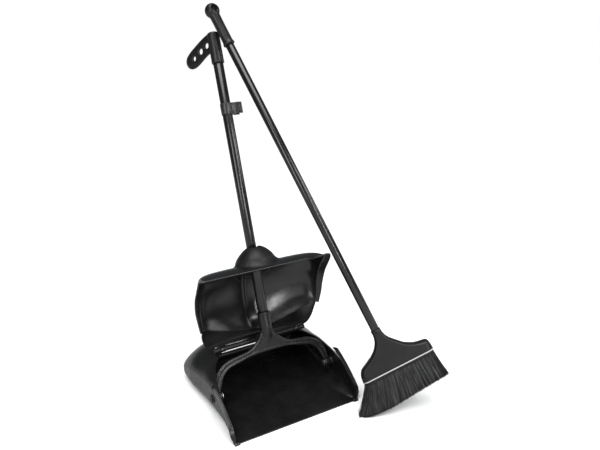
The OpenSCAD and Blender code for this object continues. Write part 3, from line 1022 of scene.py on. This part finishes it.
def build_handle():
    finish_piece(yoke_arch(), "handle", "pan_plastic", PAN, "yoke")
    finish_piece(yoke_collar(), "handle", "pan_plastic", PAN)
    for side in ("right", "left"):
        finish_piece(on_side(arm_boss(), side), "handle", "pan_plastic", PAN)
    pole = tube("handle_tube_coated", TUBE_R - 1.2, TUBE_R, TUBE_FOOT, GRIP_TOP - 6, HANDLE)
    finish_piece(pole, "handle", "handle_coat", COAT, "handle_tube")
    finish_piece(collar_screw(), "handle", "steel", STEEL, "collar_screw")
    finish_piece(grip_sleeve(), "handle", "grip_plastic", GRIP, "hand_grip")
    for piece in grip_plate():
        finish_piece(piece, "handle", "grip_plastic", GRIP)
    clip, *ribs = broom_clip()
    finish_piece(clip, "handle", "clip_plastic", CLIP, "broom_clip")
    for rib in ribs:
        finish_piece(rib, "handle", "clip_plastic", CLIP)


build_handle()


# ---------------------------------------------------------------- broom

# Left and right edge of the head (x, height above the strip)
HEAD_LEFT = [(-84, 0), (-82.5, 12), (-78, 22), (-72, 28.6), (-58, 36), (-40, 45.5), (-28, 55),
             (-18.6, 66.6), (-13, 80), (-11.5, 98)]
HEAD_RIGHT = [(104, 0), (103.4, 12), (101, 21), (97, 24.6), (90, 26.2), (80, 27.5), (69, 30.5), (59, 35),
              (48, 41.5), (40, 49), (26.9, 62.4), (19, 72), (14, 84), (11.5, 98)]
# Half thickness of the head (height, half)
HEAD_HALF = [(0, 18), (8, 18), (24, 16.4), (60, 13.6), (80, 11.8), (98, 11.5)]
BROOM_R = 10.5
# Height where the tube starts inside the head
SOCKET = 40.0
LEFT_EDGE = even_spline(HEAD_LEFT, 160)
RIGHT_EDGE = even_spline(HEAD_RIGHT, 220)


def outline_x(outline, z):
    return float(np.interp(z, [p[1] for p in outline], [p[0] for p in outline]))


def head_loop(z, spread=0.0):
    """Points (x, y) around the head at height z, wider by spread."""
    left, right = outline_x(LEFT_EDGE, z), outline_x(RIGHT_EDGE, z)
    half = float(np.interp(z, [p[0] for p in HEAD_HALF], [p[1] for p in HEAD_HALF]))
    edges = np.array(LEFT_EDGE.tolist() + RIGHT_EDGE.tolist())
    reach = mix(15.0, 6.5, smoothstep(6, 30, z))
    reach = min(reach, (right - left) / 2)
    xs = [left + (right - left) * (1 - math.cos(math.pi * k / 56)) / 2 for k in range(57)]
    front = []
    for x in xs:
        gap = float(np.min(np.hypot(edges[:, 0] - x, edges[:, 1] - z)))
        near = 1 - min(gap / reach, 1)
        y = half * max(1 - near ** 2.2, 0) ** (1 / 2.2)
        if x in (xs[0], xs[-1]):
            y = 0.0
        front.append((x, y))
    loop = [(x, -y) for x, y in front] + [(x, y) for x, y in front[-2:0:-1]]
    if not spread:
        return loop
    n = len(loop)
    out = []
    for k, p in enumerate(loop):
        along = Vector(loop[(k + 1) % n]) - Vector(loop[(k - 1) % n])
        across = Vector((along.y, -along.x)).normalized()
        out.append((p[0] + across.x * spread, p[1] + across.y * spread))
    return out


def head_stack(name, rows, angle):
    """Solid from rows of (height, spread), whose outline is the head's at that height or at its foot."""
    table = [[(x, y, z) for x, y in head_loop(max(z, 0), spread)] for z, spread in rows]
    return keep_sharp(grid(name, table, BROOM, close_cols=True, caps=True), angle)


def broom_head():
    """Fan-shaped head up to its neck, with closer rows at the shoulders."""
    heights = sorted(set([98 * t for t in shares(56)] + [18 + 0.6 * k for k in range(24)]))
    return head_stack("broom_head_shell", [(z, 0.0) for z in heights], 60)


def head_collar():
    """Low ring where the tube enters the head's neck."""
    outline = rounded([(10.6, 92), (11.7, 92), (12.4, 94.5), (12.4, 98.5), (11.6, 99.6), (10.6, 99.6)],
                      0.6, 3)
    return keep_sharp(ring_solid("broom_head_collar", outline, BROOM, 56), 40)


def edge_strip():
    """Light strip around the head's foot."""
    rows = [(-0.1, -0.6), (-0.2, 0.5), (-0.7, 0.9), (-1.5, 1.0), (-2.3, 0.9), (-2.8, 0.5), (-3.0, -0.6)]
    return head_stack("edge_strip_wrap", rows, 70)


def bristle_block():
    """Block under the strip that holds the bristles."""
    rows = [(-2.9, -2.0), (-8.0, -2.0), (-9.0, -2.4), (-9.3, -3.4)]
    return head_stack("bristle_block_stock", rows, 50)


# Line of the bristles' tips (x, height), and the line of their roots
TIP_LINE = [(-132, -67), (-120, -74.5), (-98, -81), (-53, -84), (28, -78), (110, -73)]
ROOT_LEFT, ROOT_RIGHT, ROOT_Z = -81.0, 101.0, -5.0


def strand_tip(u, v):
    """Tip (x, y, z) of a strand rooted at share u along the head and v, -1 to 1, across it."""
    x = mix(ROOT_LEFT, ROOT_RIGHT, u) - 49.0 * (1 - u) ** 2.3 + 8.0 * u ** 3
    z = float(np.interp(x, [p[0] for p in TIP_LINE], [p[1] for p in TIP_LINE]))
    return x, v * 16.5, z


def on_floor(p, low=0.6):
    """A point of the broom's frame in the row frame, lifted if it would be below the floor."""
    w = BROOM @ Vector(p)
    if w.z < low:
        w.z = low
    return w


def bristles():
    """Tufts of separate three-sided strands, each a bent cone."""
    points, faces = [], []
    columns, rows, strands, rings = 46, 6, 13, 5
    for i in range(columns):
        for j in range(rows):
            u0 = (i + 0.5 + (0.25 if j % 2 else -0.25)) / columns
            v0 = -1 + 2 * (j + 0.5) / rows
            lean = rng.uniform(-1.6, 1.6)
            for _ in range(strands):
                a = rng.uniform(0, 2 * math.pi)
                d = math.sqrt(rng.random())
                root = Vector((mix(ROOT_LEFT, ROOT_RIGHT, u0) + 1.7 * d * math.cos(a),
                               v0 * 14.0 + 1.7 * d * math.sin(a), ROOT_Z))
                u = min(max(u0 + rng.gauss(0, 0.012), 0), 1)
                tip = Vector(strand_tip(u, v0 + rng.gauss(0, 0.07)))
                tip += Vector((lean + rng.gauss(0, 0.9), rng.gauss(0, 0.5), rng.uniform(-0.6, 1.8)))
                knee = root.lerp(tip, 0.45)
                knee.x = mix(root.x, tip.x, 0.33)
                bow = Vector((rng.gauss(0, 0.8), rng.gauss(0, 0.8), 0))
                radius = rng.uniform(0.36, 0.52)
                first = len(points)
                for k in range(rings):
                    t = k / (rings - 1)
                    c = (1 - t) ** 2 * root + 2 * t * (1 - t) * (knee + bow) + t * t * tip
                    r = radius * (1 - 0.35 * t)
                    c = on_floor(c)
                    for m in range(3):
                        b = a + 2 * math.pi * m / 3
                        edge = Vector((r * math.cos(b), r * math.sin(b), 0))
                        points.append((c + BROOM.to_3x3() @ edge) * MM)
                for k in range(rings - 1):
                    for m in range(3):
                        p, q = first + 3 * k + m, first + 3 * k + (m + 1) % 3
                        faces.append((p, q, q + 3, p + 3))
                end = first + 3 * (rings - 1)
                faces.append((end, end + 1, end + 2))
                faces.append((first + 2, first + 1, first))
    return shade_smooth(raw_mesh("bristle_strands", points, faces))


def bristle_core():
    """Dark mass of strands behind the ones that show, fluted along its length."""
    table = []
    for h in shares(16):
        row = []
        for side, order in ((-1, range(0, 141)), (1, range(139, 0, -1))):
            for k in order:
                u = k / 140
                tip = strand_tip(u, side)
                root = (mix(ROOT_LEFT, ROOT_RIGHT, u), side * 14.0, ROOT_Z)
                flute = 0.55 * math.sin(k * 2.1) + 0.3 * math.sin(k * 0.9 + 2)
                end = 1 - 0.6 * abs(u * 2 - 1) ** 24
                x = mix(root[0], tip[0], h ** 1.25)
                row.append(tuple(on_floor((x, side * (mix(12.3, 14.2, h) * end) + flute,
                                           mix(root[2], tip[2] + 2.5, h)), 1.2)))
        table.append(row)
    return grid("bristle_core", table, ROW, close_cols=True, caps=True)


BALL_R = 18.0
GRIP_R = 12.5


def broom_grip():
    """Soft sleeve with a ball end that has a dished hole across it."""
    foot = BALL_UP - 93
    neck = math.degrees(math.acos(GRIP_R / BALL_R))
    outline = [(10.6, foot), (13.0, foot), (14.0, foot + 0.9), (14.5, foot + 2.5), (13.9, foot + 5),
               (12.9, foot + 8), (GRIP_R, foot + 11)]
    outline += [(GRIP_R, foot + 11 + k * 8) for k in range(1, 7)]
    outline += [(GRIP_R + 0.3, BALL_UP - 15.5)]
    outline += arc((0, BALL_UP), BALL_R, -neck + 4, 90, 26)
    inner = [(10.6, BALL_UP - 26), (10.6, foot)]
    piece = lathe("broom_grip_ball", outline + [(0, BALL_UP - 26)] + inner, BROOM, 96)
    across = BROOM @ Matrix.Translation((0, 0, BALL_UP)) @ turn_about("Z", 28) @ turn_about("X", 90)
    hole = [(0, -26), (14, -26), (10.2, -18.6), (8.2, -15.4), (7.1, -12), (7, -9), (7, 9), (7.1, 12),
            (8.2, 15.4), (10.2, 18.6), (14, 26), (0, 26)]
    cut(piece, lathe("hole", hole, across, 64))
    return keep_sharp(piece, 38)


def build_broom():
    finish_piece(broom_head(), "broom", "head_plastic", HEAD, "broom_head")
    finish_piece(head_collar(), "broom", "head_plastic", HEAD)
    finish_piece(edge_strip(), "broom", "strip_plastic", STRIP, "edge_strip")
    finish_piece(bristle_block(), "broom", "head_plastic", HEAD, "bristle_block")
    finish_piece(bristle_core(), "broom", "bristle", BRISTLE, "bristles")
    finish_piece(bristles(), "broom", "bristle", BRISTLE)
    pole = tube("broom_tube_coated", BROOM_R - 1.2, BROOM_R, SOCKET, BALL_UP - 26, BROOM)
    finish_piece(pole, "broom", "handle_coat", COAT, "broom_tube")
    finish_piece(broom_grip(), "broom", "grip_plastic", GRIP, "broom_grip")


build_broom()


# ---------------------------------------------------------------- hidden CAD nodes that stay

def repaint(node, material):
    piece = frame["nodes"][node]
    piece.data.materials.clear()
    piece.data.materials.append(material)


repaint("tube_plug", GRIP)
repaint("broom_insert", GRIP)


# ---------------------------------------------------------------- stage, lights, camera

# How much light the floor gives back to the object, so that its black sides stay dark
FLOOR_BOUNCE = 0.5


def show_camera(tree, seen, unseen, output):
    """One shader for the camera's own rays, another for all the rest."""
    path = tree.nodes.new("ShaderNodeLightPath")
    choose = tree.nodes.new("ShaderNodeMixShader")
    fill(choose, {"Fac": path.outputs["Is Camera Ray"], 1: unseen, 2: seen})
    fill(output, {"Surface": choose.outputs["Shader"]})


def build_floor():
    """Pale floor, which gives back less light than it shows."""
    half = 9.0
    floor = raw_mesh("floor", [(-half, -half, 0), (half, -half, 0), (half, half, 0), (-half, half, 0)],
                     [(0, 1, 2, 3)])
    material, tree, shader, place = node_setup("studio_floor")
    fill(shader, {"Base Color": blend_colours(tree, noise(tree, place, 60, 2), 3 * (0.92,), 3 * (0.95,)),
                  "Roughness": 0.9,
                  "Specular IOR Level": 0.1})
    dim = fill(tree.nodes.new("ShaderNodeBsdfDiffuse"), {"Color": (*3 * [FLOOR_BOUNCE], 1)})
    show_camera(tree, shader.outputs["BSDF"], dim.outputs["BSDF"], tree.nodes["Material Output"])
    floor.data.materials.append(material)


def softbox(name, place, target, width, height, power):
    data = bpy.data.lights.new(name, "AREA")
    data.shape = "RECTANGLE"
    data.size, data.size_y = width, height
    data.energy = power
    lamp = add_object(name, data)
    lamp.location = place
    lamp.rotation_euler = (Vector(target) - Vector(place)).to_track_quat("-Z", "Y").to_euler()


def build_world():
    """White to the camera, dim grey to everything else."""
    world = bpy.data.worlds.new("studio")
    bpy.context.scene.world = world
    world.use_nodes = True
    tree = world.node_tree
    tree.nodes.clear()
    seen = fill(tree.nodes.new("ShaderNodeBackground"), {"Color": (1, 1, 1, 1)})
    dim = fill(tree.nodes.new("ShaderNodeBackground"), {"Color": (0.9, 0.95, 1, 1), "Strength": 0.12})
    show_camera(tree, seen.outputs["Background"], dim.outputs["Background"],
                tree.nodes.new("ShaderNodeOutputWorld"))


def build_camera():
    data = bpy.data.cameras.new("camera")
    data.sensor_width = 36
    data.lens = 35.52
    camera = add_object("camera", data)
    camera.location = (-0.5826, -1.1282, 0.9080)
    camera.rotation_euler = (math.radians(70.37), 0, math.radians(-30.13))
    bpy.context.scene.camera = camera


def sky_light(strength, spread):
    """Even light from straight above, as from a wide ceiling panel."""
    data = bpy.data.lights.new("ceiling", "SUN")
    data.energy = strength
    data.angle = math.radians(spread)
    lamp = add_object("ceiling", data)
    lamp.rotation_euler = (math.radians(8), math.radians(-10), 0)


build_floor()
build_world()
sky_light(3.3, 50)
softbox("left_front", (-2.3, -1.3, 1.6), (0, 0, 0.25), 1.0, 2.0, 36)
softbox("front", (-0.75, -2.7, 1.0), (0, 0, 0.5), 1.5, 1.3, 7)
softbox("tube_line", (0.4, -2.8, 1.25), (0, 0, 0.5), 0.3, 1.5, 30)
softbox("top_right", (1.15, -1.7, 2.1), (0, 0, 0.2), 0.9, 0.9, 22)
softbox("right_fill", (2.4, -0.6, 1.5), (0.1, 0, 0.3), 0.7, 1.0, 10)
build_camera()
bpy.context.scene.view_settings.view_transform = "Standard"
